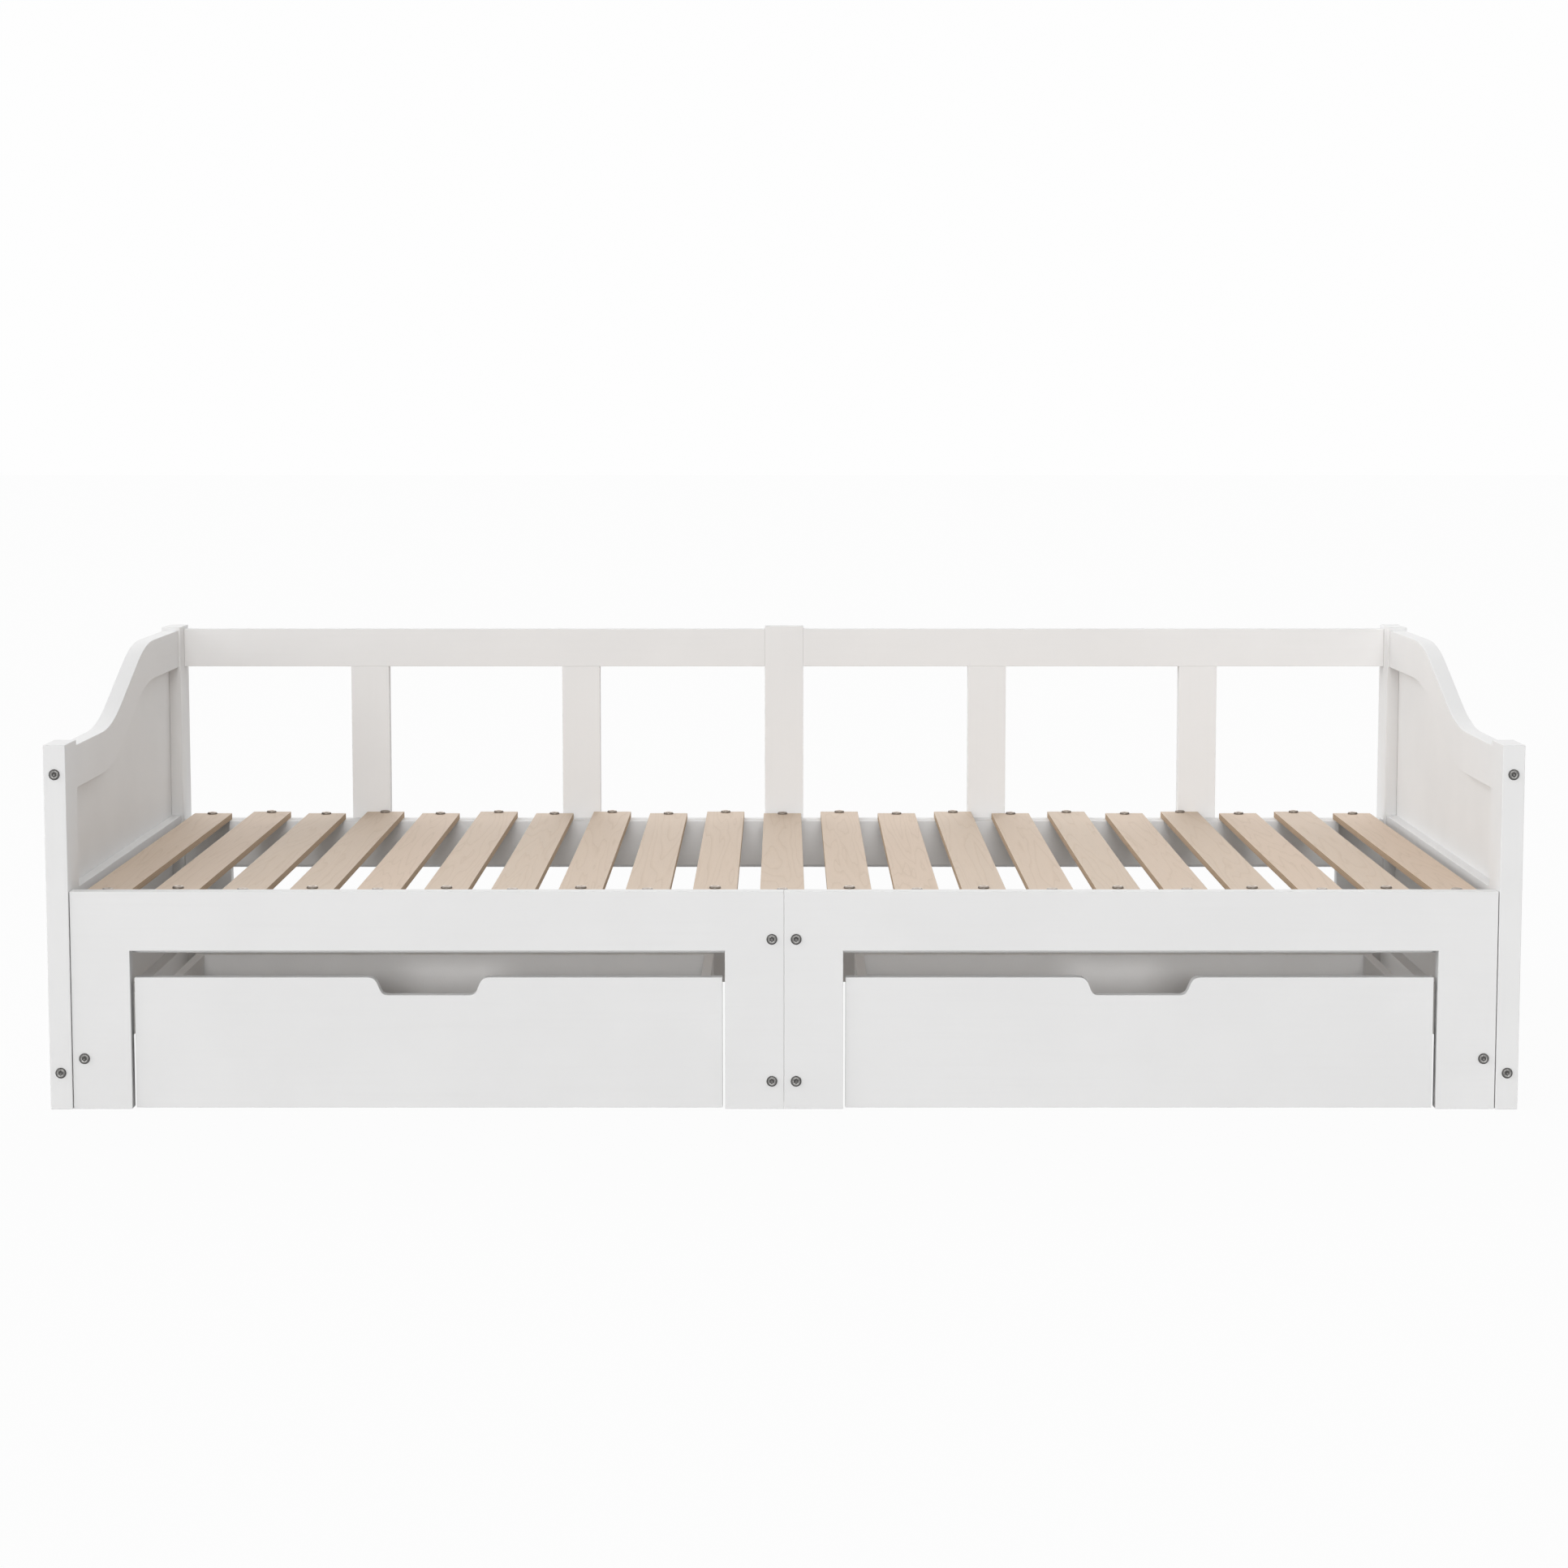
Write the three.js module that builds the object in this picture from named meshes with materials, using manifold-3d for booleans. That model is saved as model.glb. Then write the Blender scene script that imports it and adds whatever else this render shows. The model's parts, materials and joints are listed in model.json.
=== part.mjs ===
// Storage daybed: a single bed that pulls out to a double one, with two drawers on wheels.
// Millimetres, +Z up, +X along the bed, and -Y is the front, where the bed and the drawers pull out.
// Every board is a solid of its own. Inside the bed group, y is measured back from the front posts.
import * as THREE from "three";
import { mergeVertices } from "three/addons/utils/BufferGeometryUtils.js";
import Module from "manifold-3d";

const wasm = await Module();
wasm.setup();

// Driving sizes of the whole bed
const clearLength = 2002; // between the posts of the two ends, for a 2000 mm mattress
const bedDepth = 1034; // from the front posts' face to the rear posts' back
const slatTop = 305.3; // height of the fixed slats' upper face

// Boards and clearances
const boardThickness = 24;
const wideBoard = 80.5;
const narrowBoard = 64;
const runningGap = 0.3; // between faces that slide on each other
const slidingSpace = 1; // between the boards that pass each other as the bed pulls out
const grooveDepth = 6;
const grooveClearance = 0.3;

// End frames
const postThickness = 31;
const postDepth = 80;
const frontPostHeight = 515;
const rearPostHeight = 617;
const endRailThickness = 24;
const endRailInset = 3.5; // of the top and ledge rails behind the posts' inner faces
const endTopRailHeight = 61;
const frontRailStep = 9.2; // from the front post's top down to the top rail
const sweepRise = 106.2; // of the top rail, from its low front to its high rear
const sweepSlope = THREE.MathUtils.degToRad(20.1);
const sweepCorner = 366; // where the low line and the slope would cross
const toeRadius = 440;
const shoulderRadius = 407;
const arcSteps = 8;
const ledgeDrop = 1.5; // of the ledge rail's top below the slats
const ledgeHeight = 62;
const bottomRailLift = 20;
const panelThickness = 5;
const panelInset = 19.5; // of the end panel behind the posts' inner faces

// Back
const backPostWidth = 64;
const backTopRailHeight = 62.5;
const backTopRailDrop = 5; // below the top of the centre post
const backRecess = 17; // of the back's rear face before the rear posts' back
const stileWidth = 63;
const innerStileShare = 0.3387; // of the way from the middle of the bed to the posts' inner faces
const outerStileShare = 0.6906;

// Slats
const slatWidth = 62.3;
const slatThickness = 10;
const slatsPerHalf = 10; // on each side of the middle slat
const slatEndGap = 19.4; // between the last slat and the posts' inner faces, on average of both ends
const slatShift = 2.5; // of the middle slat to the left of the bed's middle

// Rear frame
const rearLegWidth = 76;

// Pull-out frame
const frontSetBack = 3; // of the pull-out front behind the front posts' face
const frontEndGap = 1; // between the pull-out front and each post
const frontTop = 309;
const frontRailHeight = 84;
const outerLegWidth = 82.6;
const centreLegWidth = 83;
const halfSeam = 0.6; // between the two halves of the front
const battenHeight = 24;
const battenEndGap = 8;
const cleatLift = 6;
const tieBarHeight = 74;
const tieBarEndGap = 1.5; // between the tie bar's end and the line of each rear leg's inner edge
const guideBlockLength = 64;
const guideBlockHeight = 64;
const guideBlockLift = 40;
const guideBlockInset = 4.6; // from the outer edge of the leg

// Drawers
const drawerSideGap = 5.2; // beside the outer leg
const drawerCentreGap = 3.5; // beside the centre leg
const drawerSetBack = 4.5; // of the drawers behind the pull-out front's face
const drawerLift = 1.2;
const drawerFrontHeight = 185.6;
const drawerFrontThickness = 18;
const drawerDepth = 404;
const drawerBoard = 14;
const drawerBoxInset = 20.3; // of the box's sides behind the front's ends
const drawerBoxLift = 12;
const drawerBoxTop = 157;
const drawerPanelThickness = 5;
const drawerPanelHeight = 43;
const gripTopWidth = 151;
const gripBottomWidth = 130;
const gripDepth = 25.4;
const gripTopEase = 10; // how far the rounded upper corner reaches along each edge
const gripBottomEase = 8;
const gripSteps = 5;

// Wheels under the drawers
const wheelRadius = 18;
const wheelWidth = 16;
const wheelSideGap = 4;
const axleRadius = 4;
const axleClearance = 0.4;
const axleEndGap = 1; // from the axle's end to the outer face of the side board
const axlePlace = 60; // from the box's front or rear edge to an axle
const roundSteps = 24;

// A cutter runs this far past the face that it opens
const cutOverrun = 2;

// Heights and places that follow
const postInner = clearLength / 2;
const postOuter = postInner + postThickness;
const endRailInner = postInner + endRailInset;
const endRailOuter = endRailInner + endRailThickness;
const rearPostFront = bedDepth - postDepth;
const panelInner = postInner + panelInset;
const panelOuter = panelInner + panelThickness;
const slatSeat = slatTop - slatThickness;
const movingSlatSeat = slatSeat + runningGap;
const slatPitch = (postInner - slatEndGap - slatWidth / 2) / slatsPerHalf;
const backRear = bedDepth - backRecess;
const backFront = backRear - boardThickness;
const rearRailFront = backFront - boardThickness;
const backTop = rearPostHeight - backTopRailDrop;
const pullFront = frontSetBack;
const pullRear = pullFront + boardThickness;
const battenRear = pullRear + boardThickness;
const frontBeamFront = battenRear + slidingSpace;
const frontBeamRear = frontBeamFront + boardThickness;
const tieBarRear = rearRailFront - slidingSpace;
const tieBarFront = tieBarRear - boardThickness;
const rearLegInner = postInner - rearLegWidth;
const frontOuter = postInner - frontEndGap;
const frontRailBottom = frontTop - frontRailHeight;
const drawerOuter = frontOuter - outerLegWidth - drawerSideGap;
const drawerInner = centreLegWidth + drawerCentreGap;
const drawerFace = pullFront + drawerSetBack;
const axleHeight = wheelRadius;

const white = new THREE.MeshStandardMaterial({ color: 0xe3e3e2, roughness: 0.5 });
const inside = new THREE.MeshStandardMaterial({ color: 0xdedddb, roughness: 0.6 });
const birch = new THREE.MeshStandardMaterial({ color: 0xcbb8a2, roughness: 0.65 });
const plastic = new THREE.MeshStandardMaterial({ color: 0x2b2c2e, roughness: 0.5 });

// A closed geometry as a solid that can be joined and cut, and back again.
function toSolid(geometry) {
  const bare = geometry.clone();
  bare.deleteAttribute("normal");
  bare.deleteAttribute("uv");
  const merged = mergeVertices(bare);
  return new wasm.Manifold(
    new wasm.Mesh({
      numProp: 3,
      vertProperties: merged.attributes.position.array,
      triVerts: new Uint32Array(merged.index.array),
    }),
  );
}

function toGeometry(solid) {
  const mesh = solid.getMesh();
  const geometry = new THREE.BufferGeometry();
  geometry.setAttribute("position", new THREE.BufferAttribute(mesh.vertProperties, 3));
  geometry.setIndex(new THREE.BufferAttribute(mesh.triVerts, 1));
  return geometry.toNonIndexed();
}

// A square-edged board between two corners, each given as [x, y, z].
function board(from, to) {
  const low = from.map((value, axis) => Math.min(value, to[axis]));
  const high = from.map((value, axis) => Math.max(value, to[axis]));
  const size = high.map((value, axis) => value - low[axis]);
  return new THREE.BoxGeometry(...size).translate(...low.map((value, axis) => value + size[axis] / 2));
}

// A board cut to an outline of [y, z] points, which lies between two places along the bed.
function sideBoard(outline, fromX, toX) {
  const shape = new THREE.Shape(outline.map(([y, z]) => new THREE.Vector2(y, z)));
  const turn = new THREE.Matrix4().makeBasis(
    new THREE.Vector3(0, 1, 0),
    new THREE.Vector3(0, 0, 1),
    new THREE.Vector3(1, 0, 0),
  );
  const geometry = new THREE.ExtrudeGeometry(shape, { depth: Math.abs(toX - fromX), bevelEnabled: false });
  return geometry.applyMatrix4(turn).translate(Math.min(fromX, toX), 0, 0);
}

// A board cut to an outline of [x, z] points, which lies between two places from front to rear.
function frontBoard(outline, fromY, toY) {
  const shape = new THREE.Shape(outline.map(([x, z]) => new THREE.Vector2(x, z)));
  const geometry = new THREE.ExtrudeGeometry(shape, { depth: toY - fromY, bevelEnabled: false });
  return geometry.rotateX(Math.PI / 2).translate(0, toY, 0);
}

const bed = new THREE.Group();
bed.position.y = -bedDepth / 2;

function add(name, geometry, material) {
  const mesh = new THREE.Mesh(geometry, material);
  mesh.name = name;
  bed.add(mesh);
}

// The swept edge of an end: level, up the slope between two arcs, and level again.
// The points start at the front, at the height given.
function sweptEdge(height) {
  const toeStart = sweepCorner - toeRadius * Math.tan(sweepSlope / 2);
  const run = sweepRise / Math.tan(sweepSlope);
  const shoulderEnd = sweepCorner + run + shoulderRadius * Math.tan(sweepSlope / 2);
  const points = [];
  for (let step = 0; step <= arcSteps; step++) {
    const turned = (sweepSlope * step) / arcSteps;
    points.push([toeStart + toeRadius * Math.sin(turned), height + toeRadius * (1 - Math.cos(turned))]);
  }
  for (let step = arcSteps; step >= 0; step--) {
    const turned = (sweepSlope * step) / arcSteps;
    points.push([
      shoulderEnd - shoulderRadius * Math.sin(turned),
      height + sweepRise - shoulderRadius * (1 - Math.cos(turned)),
    ]);
  }
  return points;
}

// The outline of an end panel, grown all round by a margin.
function panelOutline(margin) {
  const front = postDepth - grooveDepth - margin;
  const rear = rearPostFront + grooveDepth + margin;
  const bottom = bottomRailLift + narrowBoard - grooveDepth - margin;
  const top = frontPostHeight - frontRailStep - endTopRailHeight + grooveDepth + margin;
  return [[front, bottom], [rear, bottom], [rear, top + sweepRise], ...sweptEdge(top).reverse(), [front, top]];
}

// One end of the bed, on the side of the middle that the sign gives.
function makeEnd(side, sign) {
  const groove = toSolid(
    sideBoard(
      panelOutline(grooveClearance),
      sign * (panelInner - grooveClearance),
      sign * (panelOuter + grooveClearance),
    ),
  );
  const grooved = (geometry) => toGeometry(toSolid(geometry).subtract(groove));
  const topRailTop = frontPostHeight - frontRailStep;
  const topRailBottom = topRailTop - endTopRailHeight;
  const topRail = [
    [postDepth, topRailBottom],
    ...sweptEdge(topRailBottom),
    [rearPostFront, topRailBottom + sweepRise],
    [rearPostFront, topRailTop + sweepRise],
    ...sweptEdge(topRailTop).reverse(),
    [postDepth, topRailTop],
  ];
  const ledgeTop = slatTop - ledgeDrop;

  add(
    `${side}_front_post`,
    grooved(board([sign * postInner, 0, 0], [sign * postOuter, postDepth, frontPostHeight])),
    white,
  );
  add(
    `${side}_rear_post`,
    grooved(board([sign * postInner, rearPostFront, 0], [sign * postOuter, bedDepth, rearPostHeight])),
    white,
  );
  add(`${side}_end_top_rail`, grooved(sideBoard(topRail, sign * endRailInner, sign * endRailOuter)), white);
  add(
    `${side}_end_ledge_rail`,
    board(
      [sign * endRailInner, postDepth, ledgeTop - ledgeHeight],
      [sign * (panelInner - grooveClearance), rearPostFront, ledgeTop],
    ),
    white,
  );
  add(
    `${side}_end_bottom_rail`,
    grooved(
      board(
        [sign * postInner, postDepth, bottomRailLift],
        [sign * postOuter, rearPostFront, bottomRailLift + narrowBoard],
      ),
    ),
    white,
  );
  add(`${side}_end_panel`, sideBoard(panelOutline(0), sign * panelInner, sign * panelOuter), inside);
}

// The back: a centre post, two top rails, and stiles that stand behind the rear slat rail.
function makeBack() {
  const topRailBottom = backTop - backTopRailHeight;
  add(
    "back_centre_post",
    board([-backPostWidth / 2, backFront, 0], [backPostWidth / 2, backRear, rearPostHeight]),
    white,
  );
  for (const [side, sign] of [["left", -1], ["right", 1]]) {
    add(
      `${side}_back_top_rail`,
      board([(sign * backPostWidth) / 2, backFront, topRailBottom], [sign * postInner, backRear, backTop]),
      white,
    );
    for (const [name, share] of [["inner", innerStileShare], ["outer", outerStileShare]]) {
      const place = sign * share * postInner;
      add(
        `${side}_${name}_back_stile`,
        board(
          [place - stileWidth / 2, backFront, slatSeat - wideBoard],
          [place + stileWidth / 2, backRear, topRailBottom],
        ),
        white,
      );
    }
  }
}

// The rear frame in two halves, each a slat rail with a leg, and the rail between the legs.
function makeRearFrame() {
  const railBottom = slatSeat - wideBoard;
  for (const [side, sign] of [["left", -1], ["right", 1]]) {
    const outline = [
      [(sign * halfSeam) / 2, slatSeat],
      [(sign * halfSeam) / 2, railBottom],
      [sign * rearLegInner, railBottom],
      [sign * rearLegInner, 0],
      [sign * postInner, 0],
      [sign * postInner, slatSeat],
    ];
    add(`${side}_rear_frame`, frontBoard(outline, rearRailFront, backFront), white);
  }
  add(
    "rear_bottom_rail",
    board([-rearLegInner, rearRailFront, bottomRailLift], [rearLegInner, backFront, bottomRailLift + narrowBoard]),
    white,
  );
}

// The fixed beam under the fronts of the fixed slats, between the front posts.
function makeFrontBeam() {
  add(
    "front_slat_beam",
    board([-postInner, frontBeamFront, slatSeat - wideBoard], [postInner, frontBeamRear, slatSeat]),
    white,
  );
}

// The slats: every second one is fixed, and the others pull out with the front.
function makeSlats() {
  for (let place = -slatsPerHalf; place <= slatsPerHalf; place++) {
    const moving = (place + slatsPerHalf) % 2 === 0;
    const number = String(place + slatsPerHalf + 1).padStart(2, "0");
    const seat = moving ? movingSlatSeat : slatSeat;
    const front = moving ? pullRear : frontBeamFront;
    const rear = moving ? tieBarRear : backFront;
    const middle = place * slatPitch - slatShift;
    add(
      `${moving ? "moving" : "fixed"}_slat_${number}`,
      board(
        [middle - slatWidth / 2, front, seat],
        [middle + slatWidth / 2, rear, seat + slatThickness],
      ),
      birch,
    );
  }
}

// One half of the pull-out front: a rail, two legs and the block that guides it past the end frame.
function makeFrontHalf(side, sign) {
  const outline = [
    [(sign * halfSeam) / 2, 0],
    [sign * centreLegWidth, 0],
    [sign * centreLegWidth, frontRailBottom],
    [sign * (frontOuter - outerLegWidth), frontRailBottom],
    [sign * (frontOuter - outerLegWidth), 0],
    [sign * frontOuter, 0],
    [sign * frontOuter, frontTop],
    [(sign * halfSeam) / 2, frontTop],
  ];
  const blockOuter = sign * (frontOuter - guideBlockInset);
  const block = board(
    [blockOuter - sign * boardThickness, pullRear - grooveDepth, guideBlockLift],
    [blockOuter, pullRear + guideBlockLength, guideBlockLift + guideBlockHeight],
  );
  const frame = toSolid(frontBoard(outline, pullFront, pullRear));
  add(`${side}_pull_out_front`, toGeometry(frame.add(toSolid(block))), white);
}

// What joins the pull-out front's halves, and what its slats are fixed to.
function makePullOutFrame() {
  const battenEnd = frontOuter - battenEndGap;
  const battenBottom = movingSlatSeat - battenHeight;
  const tieBarEnd = rearLegInner - tieBarEndGap;
  makeFrontHalf("left", -1);
  makeFrontHalf("right", 1);
  add(
    "pull_out_slat_batten",
    board([-battenEnd, pullRear, battenBottom], [battenEnd, battenRear, movingSlatSeat]),
    white,
  );
  add(
    "pull_out_centre_cleat",
    board([-narrowBoard / 2, pullRear, cleatLift], [narrowBoard / 2, battenRear, battenBottom]),
    white,
  );
  add(
    "pull_out_tie_bar",
    board([-tieBarEnd, tieBarFront, slatSeat - tieBarHeight], [tieBarEnd, tieBarRear, slatSeat - runningGap]),
    white,
  );
}

// A rounded corner of an outline, from one point to the next round the corner between them.
function roundedCorner(from, corner, to) {
  const curve = new THREE.QuadraticBezierCurve(
    new THREE.Vector2(...from),
    new THREE.Vector2(...corner),
    new THREE.Vector2(...to),
  );
  return curve.getPoints(gripSteps).map((point) => [point.x, point.y]);
}

// The outline of a drawer's front, with the hand grip cut into its upper edge.
function drawerFrontOutline(low, high) {
  const middle = (low + high) / 2;
  const top = drawerLift + drawerFrontHeight;
  const bottom = top - gripDepth;
  const slope = new THREE.Vector2((gripTopWidth - gripBottomWidth) / 2, gripDepth).normalize();
  const half = (sign) => [
    ...roundedCorner(
      [middle + sign * (gripBottomWidth / 2 - gripBottomEase), bottom],
      [middle + (sign * gripBottomWidth) / 2, bottom],
      [middle + sign * (gripBottomWidth / 2 + slope.x * gripBottomEase), bottom + slope.y * gripBottomEase],
    ),
    ...roundedCorner(
      [middle + sign * (gripTopWidth / 2 - slope.x * gripTopEase), top - slope.y * gripTopEase],
      [middle + (sign * gripTopWidth) / 2, top],
      [middle + sign * (gripTopWidth / 2 + gripTopEase), top],
    ),
  ];
  return [[low, drawerLift], [high, drawerLift], [high, top], ...half(1).reverse(), ...half(-1), [low, top]];
}

// A round bar along the bed, with its middle at the place given.
function barAlongBed(radius, fromX, toX, y, z) {
  const length = Math.abs(toX - fromX);
  return new THREE.CylinderGeometry(radius, radius, length, roundSteps)
    .rotateZ(Math.PI / 2)
    .translate((fromX + toX) / 2, y, z);
}

// One drawer: its front, its box of two sides and a back, its bottom, and two axles with wheels.
function makeDrawer(side, sign) {
  const low = Math.min(sign * drawerInner, sign * drawerOuter);
  const high = Math.max(sign * drawerInner, sign * drawerOuter);
  const boxLow = low + drawerBoxInset;
  const boxHigh = high - drawerBoxInset;
  const boxFront = drawerFace + drawerFrontThickness;
  const boxRear = drawerFace + drawerDepth;
  const axles = [["front", boxFront + axlePlace], ["rear", boxRear - axlePlace]];

  const panelAt = (margin) =>
    board(
      [
        boxLow + drawerBoard - grooveDepth - margin,
        boxFront - grooveDepth - margin,
        drawerPanelHeight - margin,
      ],
      [
        boxHigh - drawerBoard + grooveDepth + margin,
        boxRear - drawerBoard + grooveDepth + margin,
        drawerPanelHeight + drawerPanelThickness + margin,
      ],
    );
  const groove = toSolid(panelAt(grooveClearance));

  const front = toSolid(frontBoard(drawerFrontOutline(low, high), drawerFace, boxFront));
  add(`${side}_drawer_front`, toGeometry(front.subtract(groove)), white);

  let box = toSolid(board([boxLow, boxFront, drawerBoxLift], [boxHigh, boxRear, drawerBoxTop]));
  const hollow = board(
    [boxLow + drawerBoard, boxFront - cutOverrun, drawerBoxLift - cutOverrun],
    [boxHigh - drawerBoard, boxRear - drawerBoard, drawerBoxTop + cutOverrun],
  );
  box = box.subtract(toSolid(hollow)).subtract(groove);
  for (const [, y] of axles) {
    const bore = barAlongBed(
      axleRadius + axleClearance,
      boxLow - cutOverrun,
      boxHigh + cutOverrun,
      y,
      axleHeight,
    );
    box = box.subtract(toSolid(bore));
  }
  add(`${side}_drawer_box`, toGeometry(box), inside);
  add(`${side}_drawer_bottom`, panelAt(0), inside);

  for (const [place, y] of axles) {
    let set = toSolid(barAlongBed(axleRadius, boxLow + axleEndGap, boxHigh - axleEndGap, y, axleHeight));
    const near = boxLow + drawerBoard + wheelSideGap;
    const far = boxHigh - drawerBoard - wheelSideGap;
    for (const [from, to] of [[near, near + wheelWidth], [far - wheelWidth, far]]) {
      set = set.add(toSolid(barAlongBed(wheelRadius, from, to, y, axleHeight)));
    }
    add(`${side}_drawer_${place}_wheels`, toGeometry(set), plastic);
  }
}

makeEnd("left", -1);
makeEnd("right", 1);
makeBack();
makeRearFrame();
makeFrontBeam();
makeSlats();
makePullOutFrame();
makeDrawer("left", -1);
makeDrawer("right", 1);

const daybed = new THREE.Group();
daybed.add(bed);

export default daybed;
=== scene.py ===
# The looks of a storage daybed: white painted boards with eased edges, bare wooden slats,
# steel bolt heads, and drawers on small wheels. Lengths are in metres, and MM turns a size in
# millimetres into metres. The front of the bed faces -Y.
import json
import math

import bmesh
import bpy
from mathutils import Matrix, Vector


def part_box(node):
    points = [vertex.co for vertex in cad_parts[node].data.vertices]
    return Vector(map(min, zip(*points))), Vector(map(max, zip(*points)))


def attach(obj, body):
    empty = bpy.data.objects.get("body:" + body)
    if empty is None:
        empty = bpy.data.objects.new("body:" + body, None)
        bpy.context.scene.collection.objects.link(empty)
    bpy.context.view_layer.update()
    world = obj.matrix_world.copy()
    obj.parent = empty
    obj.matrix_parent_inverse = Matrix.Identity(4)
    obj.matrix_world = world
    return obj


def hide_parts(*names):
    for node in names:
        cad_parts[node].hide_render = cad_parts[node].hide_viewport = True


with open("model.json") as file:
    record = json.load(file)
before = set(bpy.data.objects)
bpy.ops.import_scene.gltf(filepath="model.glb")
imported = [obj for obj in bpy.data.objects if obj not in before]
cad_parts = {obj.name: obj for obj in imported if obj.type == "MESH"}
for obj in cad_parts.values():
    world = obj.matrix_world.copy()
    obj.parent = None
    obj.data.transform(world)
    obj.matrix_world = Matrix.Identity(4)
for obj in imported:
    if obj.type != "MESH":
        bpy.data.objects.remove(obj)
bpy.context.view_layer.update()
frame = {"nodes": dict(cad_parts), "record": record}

MM = 0.001
X, Y, Z = range(3)
FORWARD = (0, -1, 0)
BACKWARD = (0, 1, 0)
SIDEWAYS = (1, 0, 0)
UP = (0, 0, 1)
SIDES = (("left", -1), ("right", 1))

# The CAD nodes by what they are
BODY_OF = {node: body for body, nodes in frame["record"]["behaviour"]["bodies"].items() for node in nodes}
SLATS = sorted(node for node in BODY_OF if "_slat_" in node and node[-2:].isdigit())
PANELS = [node for node in BODY_OF if node.endswith(("_end_panel", "_drawer_bottom"))]
PANEL_BOXES = [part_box(node) for node in PANELS]

# Edges and curves
SAME_POINT = 0.01 * MM
FLAT_ANGLE = math.radians(0.3)
SHARP_ANGLE = math.radians(35)
EASE_STEPS = 3
ROUND_PROFILE = 0.5
BOARD_EASE = 0.8 * MM
POST_EASE = 1 * MM
BOX_EASE = 0.7 * MM
PANEL_EASE = 0.4 * MM
SLAT_EASE = 0.7 * MM
GROOVE_REACH = 1 * MM
SEAM_REACH = 1.2 * MM
SEAM_CLOSING = 0.2 * MM
ROUND_STEPS = 48
HEX_SIDES = 6
FLAT_FACE_WEIGHT = 100

# Bolt heads: the radius and height of one, and its outline in shares of them
BOLT_HEAD = (7.6 * MM, 3 * MM)
SLAT_HEAD = (8.1 * MM, 3.5 * MM)
HEAD_OUTLINE = ((0.97, 0), (1, 0.12), (1, 0.4), (0.97, 0.62), (0.89, 0.82), (0.78, 0.94), (0.68, 1))
SOCKET_MOUTH = 8.4 * MM
SOCKET_CHAMFER = 1 * MM
SOCKET_WIDTH = 6 * MM
SOCKET_DEPTH = 2.2 * MM
SOCKET_FLOOR_RADIUS = 1.2 * MM
SOCKET_FLOOR_DEPTH = 2.376 * MM

# Which of its three steels a head shows from ring to ring, from the board up and into the socket. The
# rim, the socket's walls and floor and the underside take a darker copy of the steel as painted shade.
FACE_STEEL, RIM_PAINTED_SHADE, LIP_STEEL = range(3)
# On the bolts the socket's lip takes a lighter steel, which is partly a painted highlight.
RING_STEELS = (RIM_PAINTED_SHADE,) * 5 + (FACE_STEEL,) * 2 + (LIP_STEEL,) + (RIM_PAINTED_SHADE,) * 2

# A slat's sawn edge starts where its surface tilts by more than this
SAWN_TILT = math.radians(60)
SAWN_MATERIAL_INDEX = 1

# Where the bolts are
CENTRE_BOLT_PLACE = 17 * MM
CENTRE_BOLT_HEIGHTS = (39.7 * MM, 241.6 * MM)
OUTER_BOLT_PLACE = 16.6 * MM
OUTER_BOLT_HEIGHT = 72 * MM
HALF_END_RAIL = 29 * MM
RAIL_BOLT_DEPTHS = (20 * MM, 60 * MM)
SLAT_HEAD_PLACE = 12 * MM

# Wheels and axles
WHEEL_WIDTH = 16 * MM
WHEEL_END_GAP = 17 * MM
TREAD_ROUND = 2 * MM
SHOULDER = 0.6 * MM
RIM_WIDTH = 3 * MM
RIM_EDGE = 0.3 * MM
WEB_SINK = 4 * MM
HUB_RADIUS = 7 * MM
AXLE_RADIUS = 4 * MM
AXLE_CHAMFER = 0.6 * MM
AXLE_MATERIAL_INDEX = 1

# Colours
WHITE = (1, 1, 1)
PAINT_DULL = (0.788, 0.786, 0.784)
PAINT_CLEAN = (0.81, 0.808, 0.806)
PAINT_OVER_GRAIN = (0.75, 0.747, 0.742)
BOARD_DULL = (0.782, 0.78, 0.777)
BOARD_CLEAN = (0.806, 0.804, 0.801)
VENEER_WARM = (0.615, 0.475, 0.36)
VENEER_COOL = (0.585, 0.467, 0.36)
VENEER_PALE = (0.67, 0.53, 0.405)
VENEER_LINE = (0.44, 0.315, 0.21)
VENEER_FIBRE = (0.49, 0.375, 0.275)
VENEER_FLECK = (0.5, 0.37, 0.265)
LONG_LAYER = (0.52, 0.375, 0.245)
CROSS_LAYER = (0.425, 0.295, 0.185)
LAYER_FIBRE = (0.33, 0.22, 0.13)
LAYER_PORE = (0.27, 0.175, 0.1)
LAYER_GLUE = (0.22, 0.14, 0.085)
PLASTIC_CLEAN = (0.022, 0.023, 0.025)
PLASTIC_WORN = (0.045, 0.045, 0.047)
FLOOR_WHITE = (0.65, 0.65, 0.65)

# Grain. Scales are repeats in a metre, and a shift sets each slat's figure apart from the next one's.
PAINT_GRAIN_ACROSS = 160
PAINT_GRAIN_ALONG = 5
FIGURE_ACROSS = 15
FIGURE_ALONG = 0.8
FIGURE_SHIFT = (40, 23, 9)
GROWTH_LINES = 17
GROWTH_LINE_SHARPNESS = 6
FIBRES_ACROSS = 1300
FIBRES_ALONG = 22
FIBRES_SHIFT = 50
FLECKS_ACROSS = 260
FLECKS_ALONG = 55
FLECKS_SHIFT = 20
LAYER_THICKNESS = 1.45 * MM

# The gloss that paint and pressed board share
PAINT_GLOSS = {"Specular IOR Level": 0.25}

# The sockets of a colour Mix node, which share their names and so go by number
MIX_SHARE, MIX_FIRST, MIX_SECOND = 0, 6, 7
MIX_COLOUR = 2

# The photograph's camera, with its place fitted to the bed's posts and slats
CAMERA_PLACE = (0, -5.4064, 0.9972)
CAMERA_PITCH = math.radians(6.261)
CAMERA_SENSOR = 36
CAMERA_LENS_PIXELS = 4350
PHOTO_WIDTH_PIXELS = 1932
CAMERA_REACH = 100

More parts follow.
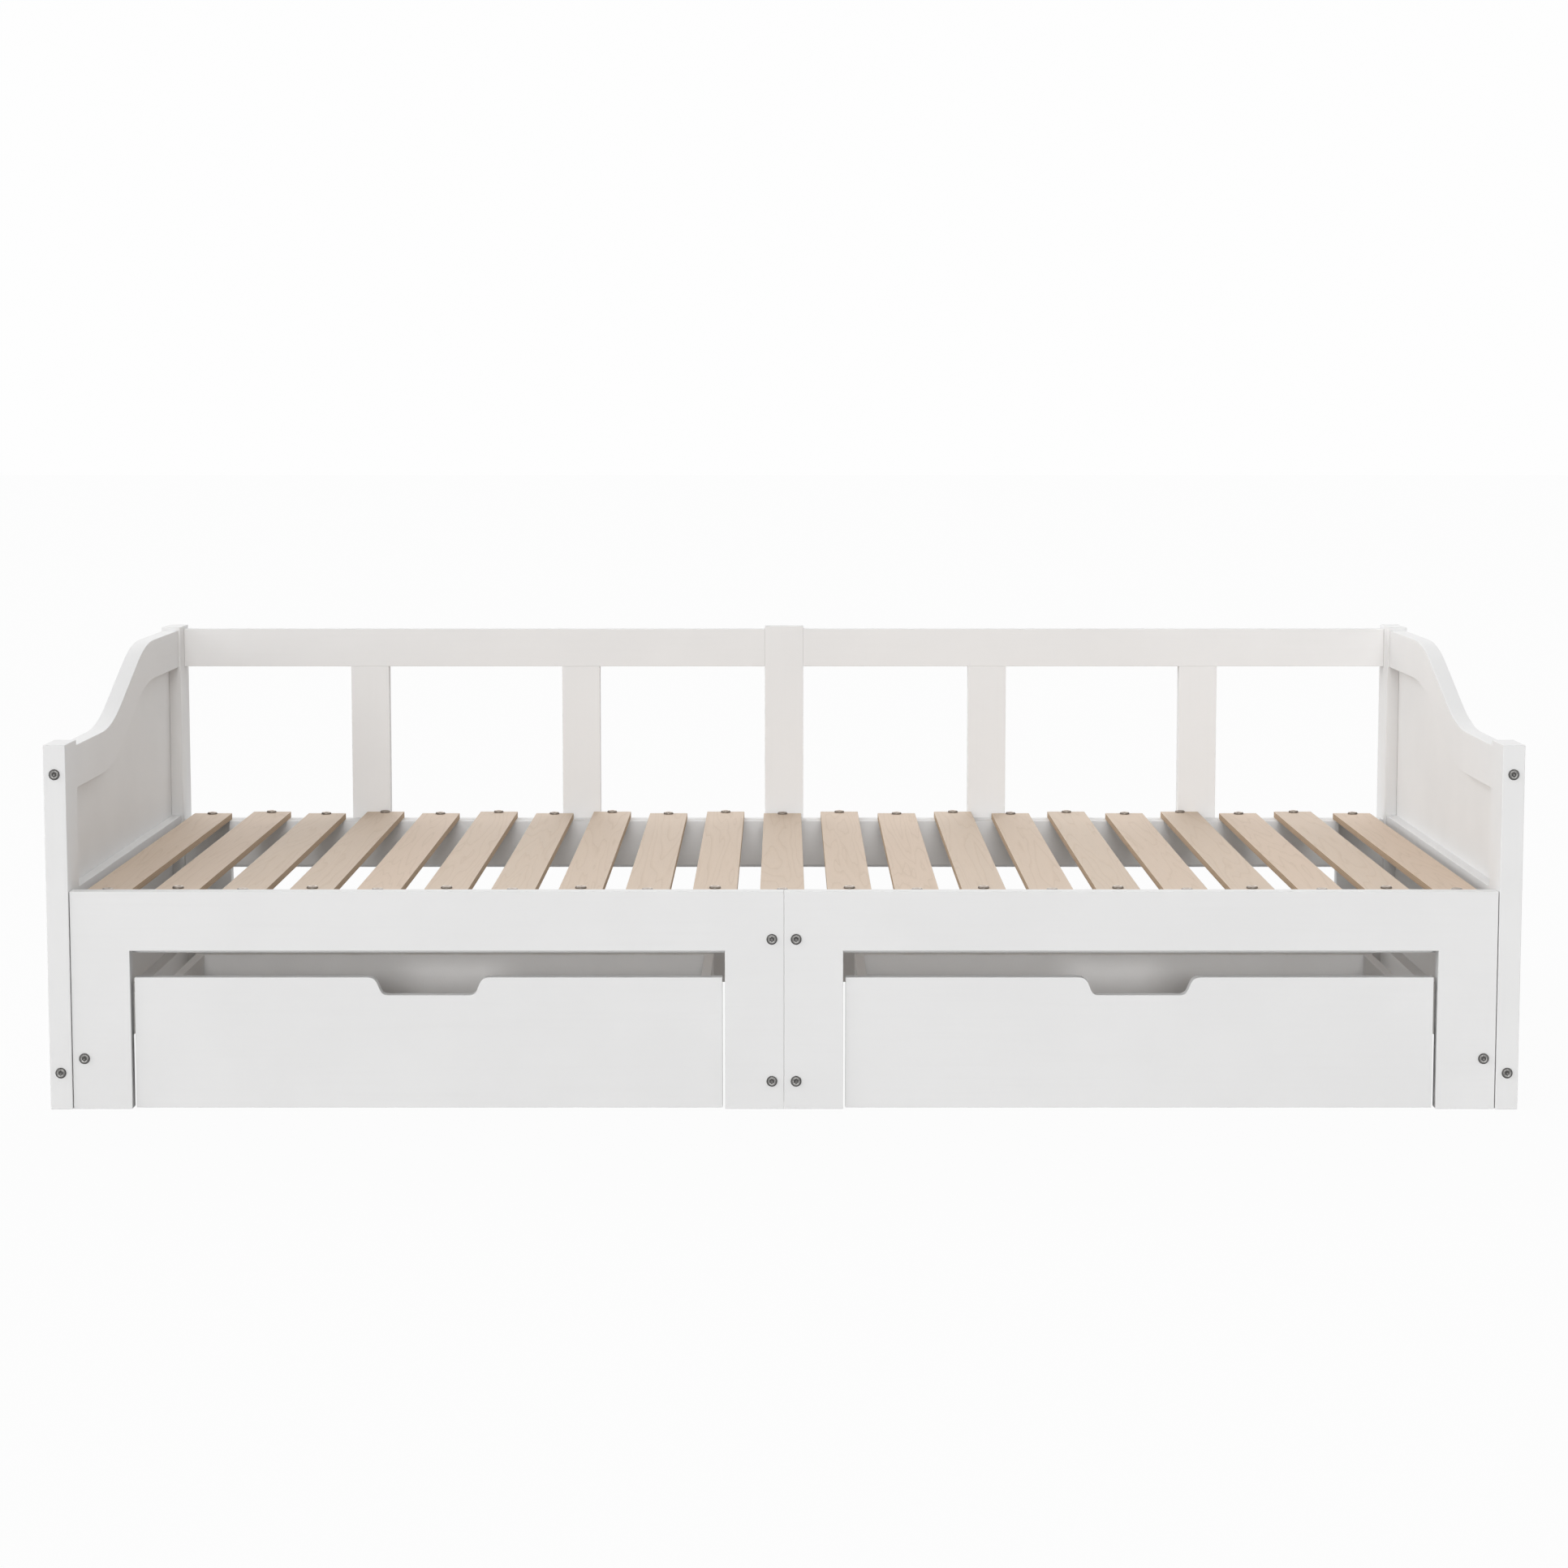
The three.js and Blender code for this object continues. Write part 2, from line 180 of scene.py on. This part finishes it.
# The studio. Wall and ceiling edges are heights on a ball of directions, from 0 to 1.
WALL_TOP = 0.35
CEILING_EDGE = 0.65
WALL_LIGHT = 1.11
WALL_SLOPE_X = -0.53
WALL_SLOPE_Y = 0.35
SHOWN_WHITE = 0.99
FLOOR_GLOW = 0.95
FLOOR_REACH = 40


def lowest(node, axis):
    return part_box(node)[0][axis]


def highest(node, axis):
    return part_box(node)[1][axis]


def middle(node, axis):
    return (lowest(node, axis) + highest(node, axis)) / 2


def longest_axis(node):
    return max((X, Y, Z), key=lambda axis: highest(node, axis) - lowest(node, axis))


class Signal:
    """A value or a colour on its way through one material's nodes. Sums on values add Math nodes."""

    def __init__(self, finish, socket):
        self.finish = finish
        self.socket = socket

    def math(self, operation, *others, clamp=False):
        inputs = dict(enumerate((self, *others)))
        return self.finish.node("ShaderNodeMath", inputs, operation=operation, use_clamp=clamp)

    def __add__(self, other):
        return self.math("ADD", other)

    __radd__ = __add__

    def __sub__(self, other):
        return self.math("SUBTRACT", other)

    def __rsub__(self, other):
        return self.finish.node("ShaderNodeMath", {0: other, 1: self}, operation="SUBTRACT")

    def __mul__(self, other):
        return self.math("MULTIPLY", other)

    __rmul__ = __mul__

    def __truediv__(self, other):
        return self.math("DIVIDE", other)

    def __pow__(self, power):
        return self.math("POWER", power)

    def part(self, name):
        """Another output of the node that this signal comes from."""
        return Signal(self.finish, self.socket.node.outputs[name])

    def between(self, low, high):
        """0 below low, 1 above high, and a smooth rise between them."""
        inputs = {"Value": self, "From Min": low, "From Max": high}
        return self.finish.node("ShaderNodeMapRange", inputs, interpolation_type="SMOOTHSTEP")


class Finish:
    """The nodes of one procedural material, or of the studio's world."""

    def __init__(self, name, owners=bpy.data.materials, coordinates="Object"):
        self.owner = owners.new(name)
        self.owner.use_nodes = True
        self.tree = self.owner.node_tree
        self.tree.nodes.clear()
        self.point = self.node("ShaderNodeTexCoord").part(coordinates)
        split = self.node("ShaderNodeSeparateXYZ", {"Vector": self.point})
        self.x, self.y, self.z = (split.part(axis) for axis in "XYZ")

    def node(self, kind, inputs=(), **settings):
        """Adds a node with its settings, then its sockets' links, numbers and colours."""
        made = self.tree.nodes.new(kind)
        for name, value in settings.items():
            setattr(made, name, value)
        for name, value in dict(inputs).items():
            if isinstance(value, Signal):
                self.tree.links.new(value.socket, made.inputs[name])
            else:
                made.inputs[name].default_value = (*value, 1) if isinstance(value, tuple) else value
        shown = [output for output in made.outputs if output.enabled]
        return Signal(self, shown[0]) if shown else None

    def place(self, x, y, z):
        return self.node("ShaderNodeCombineXYZ", {"X": x, "Y": y, "Z": z})

    def noise(self, place, scale=1, detail=2, roughness=0.5, distortion=0):
        inputs = {
            "Vector": place,
            "Scale": scale,
            "Detail": detail,
            "Roughness": roughness,
            "Distortion": distortion,
        }
        return self.node("ShaderNodeTexNoise", inputs)

    def blend(self, share, first, second):
        """A colour that goes from the first to the second as share goes from 0 to 1."""
        inputs = {MIX_SHARE: share, MIX_FIRST: first, MIX_SECOND: second}
        return self.node("ShaderNodeMix", inputs, data_type="RGBA").part(MIX_COLOUR)

    def bump(self, height, distance):
        return self.node("ShaderNodeBump", {"Height": height, "Distance": distance, "Strength": 1})

    def close(self, colour, roughness, normal, fixed=()):
        """Ends the material in a Principled surface. Fixed gives sockets that are the same all over."""
        inputs = {"Base Color": colour, "Roughness": roughness, "Normal": normal, **dict(fixed)}
        surface = self.node("ShaderNodeBsdfPrincipled", inputs)
        self.node("ShaderNodeOutputMaterial", {"Surface": surface})
        return self.owner

    def shown_rays(self):
        """1 for rays from the camera, from gloss and through glass, which see a white studio."""
        rays = self.node("ShaderNodeLightPath")
        seen = rays.part("Is Camera Ray") + rays.part("Is Glossy Ray")
        return seen.math("ADD", rays.part("Is Transmission Ray"), clamp=True)


def white_paint(name, grain_axis):
    """Satin white paint, sprayed on sanded wood whose grain still shows a little along one axis."""
    finish = Finish(name)
    stretch = [PAINT_GRAIN_ACROSS] * 3
    stretch[grain_axis] = PAINT_GRAIN_ALONG
    stretched = finish.place(finish.x * stretch[X], finish.y * stretch[Y], finish.z * stretch[Z])
    fibres = finish.noise(stretched, detail=4, roughness=0.6)
    spray = finish.noise(finish.point, scale=900, detail=1)
    patches = finish.noise(finish.point, scale=5, detail=3)
    handled = finish.noise(finish.point, scale=38, detail=3)
    colour = finish.blend(patches.between(0.3, 0.7), PAINT_DULL, PAINT_CLEAN)
    colour = finish.blend(fibres.between(0.45, 0.85) * 0.2, colour, PAINT_OVER_GRAIN)
    normal = finish.bump(fibres * 0.7 + spray * 0.3, 0.04 * MM)
    return finish.close(colour, 0.48 + handled * 0.12 + patches * 0.06, normal, PAINT_GLOSS)


def board_white(name):
    """The matt white face of a thin pressed board, with a fine even tooth."""
    finish = Finish(name)
    tooth = finish.noise(finish.point, scale=1400, detail=2, roughness=0.7)
    mottle = finish.noise(finish.point, scale=9, detail=4)
    colour = finish.blend(mottle.between(0.25, 0.75), BOARD_DULL, BOARD_CLEAN)
    normal = finish.bump(tooth, 0.03 * MM)
    return finish.close(colour, 0.5 + mottle * 0.12, normal, PAINT_GLOSS)


def slat_random(finish):
    """Where a point lies across its own slat, and a random value that each slat has."""
    first, last = middle("moving_slat_01", X), middle("moving_slat_21", X)
    pitch = (last - first) / (len(SLATS) - 1)
    from_first = finish.x - first
    number = (from_first / pitch).math("ROUND")
    across = from_first - number * pitch
    chance = finish.node("ShaderNodeTexWhiteNoise", {"W": number}, noise_dimensions="1D")
    return across, chance


def slat_face():
    """The peeled hardwood veneer on a slat's faces: wandering growth lines, fibres and short flecks."""
    finish = Finish("slat_veneer")
    across, chance = slat_random(finish)
    along = finish.y
    figure_place = finish.place(
        across * FIGURE_ACROSS + chance * FIGURE_SHIFT[X],
        along * FIGURE_ALONG + chance * FIGURE_SHIFT[Y],
        chance * FIGURE_SHIFT[Z],
    )
    figure = finish.noise(figure_place, detail=3, roughness=0.45, distortion=0.3)
    growth = (figure * GROWTH_LINES).math("FRACT")
    lines = growth ** GROWTH_LINE_SHARPNESS
    fibres_place = finish.place(across * FIBRES_ACROSS, along * FIBRES_ALONG, chance * FIBRES_SHIFT)
    fibres = finish.noise(fibres_place, detail=3, roughness=0.65)
    flecks_place = finish.place(across * FLECKS_ACROSS, along * FLECKS_ALONG, chance * FLECKS_SHIFT)
    flecks = finish.noise(flecks_place, detail=2)
    colour = finish.blend(chance, VENEER_WARM, VENEER_COOL)
    colour = finish.blend(growth.between(0, 1) * 0.3, colour, VENEER_PALE)
    colour = finish.blend(lines * 0.4, colour, VENEER_LINE)
    colour = finish.blend(fibres.between(0.5, 0.8) * 0.3, colour, VENEER_FIBRE)
    colour = finish.blend(flecks.between(0.62, 0.78) * 0.28, colour, VENEER_FLECK)
    normal = finish.bump(fibres * 0.6 - lines * 0.25 + flecks * 0.15, 0.12 * MM)
    return finish.close(colour, 0.56 + fibres * 0.16, normal)


def slat_edge():
    """A slat's sawn edges: thin layers whose grain turns, with dark glue lines between them."""
    finish = Finish("slat_sawn_edge")
    layer = finish.z / LAYER_THICKNESS
    turn = layer.math("FLOOR").math("MODULO", 2)
    glue = (layer.math("FRACT") - 0.5).math("ABSOLUTE").between(0.34, 0.5)
    long_place = finish.place(finish.x * 30, finish.y * 12, finish.z * 2600)
    long_grain = finish.noise(long_place, detail=3, roughness=0.6)
    end_grain = finish.noise(finish.place(finish.x * 900, finish.y * 900, finish.z * 900), detail=2)
    colour = finish.blend(turn, LONG_LAYER, CROSS_LAYER)
    colour = finish.blend(long_grain.between(0.4, 0.8) * 0.4, colour, LAYER_FIBRE)
    colour = finish.blend(end_grain.between(0.5, 0.8) * turn * 0.5, colour, LAYER_PORE)
    colour = finish.blend(glue * 0.55, colour, LAYER_GLUE)
    normal = finish.bump(end_grain * 0.5 + long_grain * 0.4 - glue * 0.3, 0.2 * MM)
    return finish.close(colour, 0.68 + end_grain * 0.15, normal)


def plated_steel(name, dark, light):
    """Dull grey plating on pressed bolt heads, with handling marks."""
    finish = Finish(name)
    cloud = finish.noise(finish.point, scale=260, detail=4, roughness=0.65)
    marks = finish.noise(finish.place(finish.x * 3000, finish.y * 3000, finish.z * 400), detail=2)
    colour = finish.blend(cloud.between(0.3, 0.7), dark, light)
    normal = finish.bump(marks * 0.6 + cloud * 0.4, 0.03 * MM)
    return finish.close(colour, 0.3 + cloud * 0.2, normal, {"Metallic": 1})


def wheel_plastic():
    """Dark moulded plastic with a fine grained skin."""
    finish = Finish("moulded_wheel_plastic")
    skin = finish.noise(finish.point, scale=2200, detail=1)
    wear = finish.noise(finish.point, scale=140, detail=4)
    colour = finish.blend(wear.between(0.4, 0.75), PLASTIC_CLEAN, PLASTIC_WORN)
    normal = finish.bump(skin, 0.05 * MM)
    return finish.close(colour, 0.38 + wear * 0.2, normal)


PAINT = [white_paint(f"white_paint_{axis}", place) for place, axis in enumerate("xyz")]
BOARD_WHITE = board_white("board_white")
SLAT_FACE = slat_face()
SLAT_EDGE = slat_edge()
STEEL = plated_steel("plated_steel", (0.13, 0.128, 0.124), (0.19, 0.186, 0.18))
# A darker copy of the plated steel: painted shade on the bolt heads' rims and in their sockets.
DARK_STEEL_PAINTED_SHADE = plated_steel("plated_steel_rim_painted_shade", (0.075, 0.073, 0.071), (0.12, 0.118, 0.115))
# Lighter steel: the axles' bare steel, and on the bolt heads' socket lips a lighter ring that is partly a
# painted highlight.
CUT_STEEL_AND_PAINTED_HIGHLIGHT = plated_steel("cut_steel_and_painted_highlight", (0.4, 0.396, 0.388), (0.5, 0.495, 0.485))
SLAT_STEEL = plated_steel("slat_head_steel", (0.29, 0.25, 0.215), (0.37, 0.32, 0.28))
# A darker copy of the slat head steel: painted shade on the slat heads' rims and in their sockets.
SLAT_STEEL_PAINTED_SHADE = plated_steel("slat_head_steel_rim_painted_shade", (0.17, 0.145, 0.125), (0.23, 0.2, 0.17))
WHEEL_PLASTIC = wheel_plastic()
BOLT_STEELS = (STEEL, DARK_STEEL_PAINTED_SHADE, CUT_STEEL_AND_PAINTED_HIGHLIGHT)
SLAT_HEAD_STEELS = (SLAT_STEEL, SLAT_STEEL_PAINTED_SHADE, SLAT_STEEL)


def add_object(name, data):
    made = bpy.data.objects.new(name, data)
    bpy.context.scene.collection.objects.link(made)
    return made


def add_piece(name, shape, materials, body):
    """Makes a piece from a bmesh and fixes it to its body."""
    mesh = bpy.data.meshes.new(name)
    for face in shape.faces:
        face.smooth = True
    shape.to_mesh(mesh)
    shape.free()
    for material in materials:
        mesh.materials.append(material)
    piece = add_object(name, mesh)
    weighted = piece.modifiers.new("flat faces stay flat", "WEIGHTED_NORMAL")
    weighted.weight = FLAT_FACE_WEIGHT
    weighted.keep_sharp = True
    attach(piece, body)
    return piece


def dress(node, shape, materials):
    """A finished piece that stands for a CAD node and moves with its body."""
    piece = add_piece(f"{node}_finished", shape, materials, BODY_OF[node])
    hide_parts(node)


def meets_a_panel(edge):
    """Whether an edge is the lip of a groove that holds a thin panel."""
    for low, high in PANEL_BOXES:
        if all(
            low[axis] - GROOVE_REACH <= corner.co[axis] <= high[axis] + GROOVE_REACH
            for corner in edge.verts
            for axis in (X, Y, Z)
        ):
            return True
    return False


def eased_shape(node, ease):
    """A CAD board's mesh with its outer sharp edges eased. Inner corners and groove lips stay sharp."""
    shape = bmesh.new()
    shape.from_mesh(frame["nodes"][node].data)
    bmesh.ops.remove_doubles(shape, verts=shape.verts, dist=SAME_POINT)
    bmesh.ops.dissolve_limit(shape, angle_limit=FLAT_ANGLE, verts=shape.verts, edges=shape.edges)
    sharp = [
        edge
        for edge in shape.edges
        if edge.is_convex and edge.calc_face_angle() > SHARP_ANGLE
        if node in PANELS or not meets_a_panel(edge)
    ]
    bmesh.ops.bevel(
        shape,
        geom=sharp,
        offset=ease,
        segments=EASE_STEPS,
        profile=ROUND_PROFILE,
        affect="EDGES",
        clamp_overlap=True,
    )
    for edge in shape.edges:
        edge.smooth = len(edge.link_faces) != 2 or edge.calc_face_angle() < SHARP_ANGLE
    return shape


def add_painted(node, ease=BOARD_EASE):
    """A painted board, whose grain runs along its longest side."""
    dress(node, eased_shape(node, ease), [PAINT[longest_axis(node)]])


def add_pressed_board(node, ease=PANEL_EASE):
    dress(node, eased_shape(node, ease), [BOARD_WHITE])


def add_slat(node):
    """A slat, whose sawn edges have a material of their own, with a head on each end."""
    shape = eased_shape(node, SLAT_EASE)
    shape.normal_update()
    for face in shape.faces:
        face.material_index = SAWN_MATERIAL_INDEX if abs(face.normal.z) < math.cos(SAWN_TILT) else 0
    dress(node, shape, [SLAT_FACE, SLAT_EDGE])
    ends = (lowest(node, Y) + SLAT_HEAD_PLACE, highest(node, Y) - SLAT_HEAD_PLACE)
    places = [(middle(node, X), end, highest(node, Z)) for end in ends]
    add_heads(f"{node}_bolts", BODY_OF[node], places, UP, SLAT_HEAD, SLAT_HEAD_STEELS)


def facing(point, direction):
    """The placing of a shape at a point, with its own +Z along a direction."""
    turn = Vector(UP).rotation_difference(Vector(direction)).to_matrix().to_4x4()
    return Matrix.Translation(point) @ turn


def add_ring(shape, points, place):
    return [shape.verts.new(place @ Vector(point)) for point in points]


def bridge(shape, first, second, material_index=0):
    """Faces from one ring to the next, in one of the piece's materials."""
    count = len(first)
    for step in range(count):
        after = (step + 1) % count
        face = shape.faces.new((first[step], first[after], second[after], second[step]))
        face.material_index = material_index


def close_ends(shape, rings, material_index):
    for ring in (rings[-1], rings[0][::-1]):
        shape.faces.new(ring).material_index = material_index


def turned_points(radius, height):
    angles = [2 * math.pi * step / ROUND_STEPS for step in range(ROUND_STEPS)]
    return [(radius * math.cos(angle), radius * math.sin(angle), height) for angle in angles]


def hexagon_points(width, height):
    """Points round a hexagon, one for each step of a round ring."""
    side_angle = 2 * math.pi / HEX_SIDES
    points = []
    for step in range(ROUND_STEPS):
        angle = 2 * math.pi * step / ROUND_STEPS
        off_flat = (angle + side_angle / 2) % side_angle - side_angle / 2
        radius = width / 2 / math.cos(off_flat)
        points.append((radius * math.cos(angle), radius * math.sin(angle), height))
    return points


def add_turned(shape, profile, place, material_index=0):
    """A skin round an axis, from one radius and height of a profile to the next."""
    rings = [add_ring(shape, turned_points(radius, height), place) for radius, height in profile]
    for first, second in zip(rings, rings[1:]):
        bridge(shape, first, second, material_index)
    return rings


def add_head(shape, radius, height, place):
    """A bolt head that stands up along +Z: a rim, a low dome and a chamfered socket."""
    outline = [turned_points(radius * width, height * rise) for width, rise in HEAD_OUTLINE]
    socket = [
        turned_points(SOCKET_MOUTH / 2, height),
        hexagon_points(SOCKET_WIDTH, height - SOCKET_CHAMFER),
        hexagon_points(SOCKET_WIDTH, height - SOCKET_DEPTH),
        turned_points(SOCKET_FLOOR_RADIUS, height - SOCKET_FLOOR_DEPTH),
    ]
    rings = [add_ring(shape, points, place) for points in outline + socket]
    for steel, first, second in zip(RING_STEELS, rings, rings[1:]):
        bridge(shape, first, second, steel)
    close_ends(shape, rings, RIM_PAINTED_SHADE)


def add_heads(name, body, places, direction, size=BOLT_HEAD, steels=BOLT_STEELS):
    """The heads on one board, all of one size."""
    shape = bmesh.new()
    for point in places:
        add_head(shape, *size, facing(point, direction))
    bmesh.ops.recalc_face_normals(shape, faces=shape.faces)
    add_piece(name, shape, steels, body)


def add_end(side):
    for name in ("front_post", "rear_post"):
        add_painted(f"{side}_{name}", POST_EASE)
    for name in ("end_top_rail", "end_ledge_rail", "end_bottom_rail"):
        add_painted(f"{side}_{name}")
    add_pressed_board(f"{side}_end_panel")
    add_end_bolts(side)


def add_end_bolts(side):
    """Two bolts through each post into the end's top and bottom rails."""
    front_post, rear_post, top_rail = f"{side}_front_post", f"{side}_rear_post", f"{side}_end_top_rail"
    across = middle(front_post, X)
    bottom = middle(f"{side}_end_bottom_rail", Z)
    front_heights = (lowest(top_rail, Z) + HALF_END_RAIL, bottom)
    rear_heights = (highest(top_rail, Z) - HALF_END_RAIL, bottom)
    front_places = [(across, lowest(front_post, Y), height) for height in front_heights]
    rear_places = [(across, highest(rear_post, Y), height) for height in rear_heights]
    add_heads(f"{front_post}_bolts", "bed_frame", front_places, FORWARD)
    add_heads(f"{rear_post}_bolts", "bed_frame", rear_places, BACKWARD)


def add_back():
    """The centre post, the top rails and the stiles, bolted to the rear frame."""
    add_painted("back_centre_post")
    rear = highest("back_centre_post", Y)
    heights = [highest("left_rear_frame", Z) - depth for depth in RAIL_BOLT_DEPTHS]
    centre_places = [(sign * CENTRE_BOLT_PLACE, rear, height) for _, sign in SIDES for height in heights]
    add_heads("back_centre_post_bolts", "bed_frame", centre_places, BACKWARD)
    for side, _ in SIDES:
        add_painted(f"{side}_back_top_rail")
        for stile in (f"{side}_inner_back_stile", f"{side}_outer_back_stile"):
            add_painted(stile)
            places = [(middle(stile, X), rear, height) for height in heights]
            add_heads(f"{stile}_bolts", "bed_frame", places, BACKWARD)


def add_front_half(node, sign):
    """Half of the pull-out front, which reaches nearly to the other half at the seam, and its bolts."""
    shape = eased_shape(node, BOARD_EASE)
    for corner in shape.verts:
        if abs(corner.co.x) < SEAM_REACH:
            corner.co.x -= sign * SEAM_CLOSING
    dress(node, shape, [PAINT[longest_axis(node)]])
    front = lowest(node, Y)
    outer = lowest(node, X) if sign < 0 else highest(node, X)
    places = [(sign * CENTRE_BOLT_PLACE, front, height) for height in CENTRE_BOLT_HEIGHTS]
    places.append((outer - sign * OUTER_BOLT_PLACE, front, OUTER_BOLT_HEIGHT))
    add_heads(f"{node}_bolts", "pull_out_frame", places, FORWARD)


def add_pull_out_front():
    for node in ("pull_out_slat_batten", "pull_out_centre_cleat", "pull_out_tie_bar"):
        add_painted(node)
    for side, sign in SIDES:
        add_front_half(f"{side}_pull_out_front", sign)


def add_wheel(shape, start, radius):
    """A wheel along +X: a tread with rounded shoulders, a sunk web and a hub on each side."""
    inner = radius - RIM_WIDTH
    side = [
        (AXLE_RADIUS, 0),
        (HUB_RADIUS, 0),
        (HUB_RADIUS, WEB_SINK),
        (inner, WEB_SINK),
        (inner, RIM_EDGE),
        (radius - TREAD_ROUND, 0),
        (radius - SHOULDER, SHOULDER),
        (radius, TREAD_ROUND),
    ]
    far_side = [(out, WHEEL_WIDTH - along) for out, along in reversed(side)]
    rings = add_turned(shape, side + far_side, facing(start, SIDEWAYS))
    bridge(shape, rings[-1], rings[0])


def add_axle(node):
    """An axle with its two wheels, as one piece that turns."""
    left, right = lowest(node, X), highest(node, X)
    y, z = middle(node, Y), middle(node, Z)
    radius = (highest(node, Z) - lowest(node, Z)) / 2
    length = right - left
    shape = bmesh.new()
    for start in (left + WHEEL_END_GAP, right - WHEEL_END_GAP - WHEEL_WIDTH):
        add_wheel(shape, (start, y, z), radius)
    profile = [
        (AXLE_RADIUS - AXLE_CHAMFER, 0),
        (AXLE_RADIUS, AXLE_CHAMFER),
        (AXLE_RADIUS, length - AXLE_CHAMFER),
        (AXLE_RADIUS - AXLE_CHAMFER, length),
    ]
    rings = add_turned(shape, profile, facing((left, y, z), SIDEWAYS), AXLE_MATERIAL_INDEX)
    close_ends(shape, rings, AXLE_MATERIAL_INDEX)
    bmesh.ops.recalc_face_normals(shape, faces=shape.faces)
    dress(node, shape, [WHEEL_PLASTIC, CUT_STEEL_AND_PAINTED_HIGHLIGHT])


def add_drawer(side):
    add_painted(f"{side}_drawer_front")
    add_pressed_board(f"{side}_drawer_box", BOX_EASE)
    add_pressed_board(f"{side}_drawer_bottom")
    for place in ("front", "rear"):
        add_axle(f"{side}_drawer_{place}_wheels")


def add_floor():
    """A wide pale floor, which shows the bed's soft shadow."""
    shape = bmesh.new()
    bmesh.ops.create_grid(shape, x_segments=1, y_segments=1, size=FLOOR_REACH)
    mesh = bpy.data.meshes.new("floor")
    shape.to_mesh(mesh)
    shape.free()
    finish = Finish("pale_floor")
    matt = finish.node("ShaderNodeBsdfDiffuse", {"Color": FLOOR_WHITE})
    white = finish.node("ShaderNodeEmission", {"Color": WHITE, "Strength": 1})
    mixed = finish.node("ShaderNodeMixShader", {0: finish.shown_rays() * FLOOR_GLOW, 1: matt, 2: white})
    finish.node("ShaderNodeOutputMaterial", {"Surface": mixed})
    mesh.materials.append(finish.owner)
    add_object("floor", mesh)


def add_world():
    """A pale studio: walls all round under a dark ceiling, which the camera and gloss see as white."""
    studio = Finish("studio", bpy.data.worlds, "Generated")
    ceiling = studio.z.between(WALL_TOP, CEILING_EDGE)
    walls = studio.x * WALL_SLOPE_X + studio.y * WALL_SLOPE_Y + WALL_LIGHT
    lit = studio.node("ShaderNodeBackground", {"Color": WHITE, "Strength": walls * (1 - ceiling)})
    shown = studio.node("ShaderNodeBackground", {"Color": WHITE, "Strength": SHOWN_WHITE})
    mixed = studio.node("ShaderNodeMixShader", {0: studio.shown_rays(), 1: lit, 2: shown})
    studio.node("ShaderNodeOutputWorld", {"Surface": mixed})
    bpy.context.scene.world = studio.owner


def add_soft_light(name, azimuth, height, spread, strength):
    """A broad distant light. Azimuth 0 is in front of the bed, and -90 is on its left."""
    data = bpy.data.lights.new(name, "SUN")
    data.energy = strength
    data.angle = math.radians(spread)
    turn, rise = math.radians(azimuth), math.radians(height)
    beam = Vector((-math.sin(turn) * math.cos(rise), math.cos(turn) * math.cos(rise), -math.sin(rise)))
    add_object(name, data).rotation_euler = beam.to_track_quat("-Z", "Y").to_euler()


def add_camera():
    data = bpy.data.cameras.new("photo_camera")
    data.sensor_width = CAMERA_SENSOR
    data.lens = CAMERA_SENSOR * CAMERA_LENS_PIXELS / PHOTO_WIDTH_PIXELS
    data.clip_end = CAMERA_REACH
    camera = add_object("photo_camera", data)
    camera.location = CAMERA_PLACE
    camera.rotation_euler = (math.pi / 2 - CAMERA_PITCH, 0, 0)
    bpy.context.scene.camera = camera


add_camera()
add_world()
add_soft_light("front_light", azimuth=0, height=9, spread=10, strength=1.16)
add_soft_light("left_light", azimuth=-80, height=36, spread=50, strength=0.96)
add_soft_light("right_light", azimuth=80, height=50, spread=50, strength=0.58)
add_soft_light("rear_light", azimuth=180, height=40, spread=50, strength=1.02)
add_floor()

for side, _ in SIDES:
    add_end(side)
    add_painted(f"{side}_rear_frame")
    add_drawer(side)
add_back()
add_painted("rear_bottom_rail")
add_painted("front_slat_beam")
for slat in SLATS:
    add_slat(slat)
add_pull_out_front()

bpy.context.scene.view_settings.view_transform = "Standard"
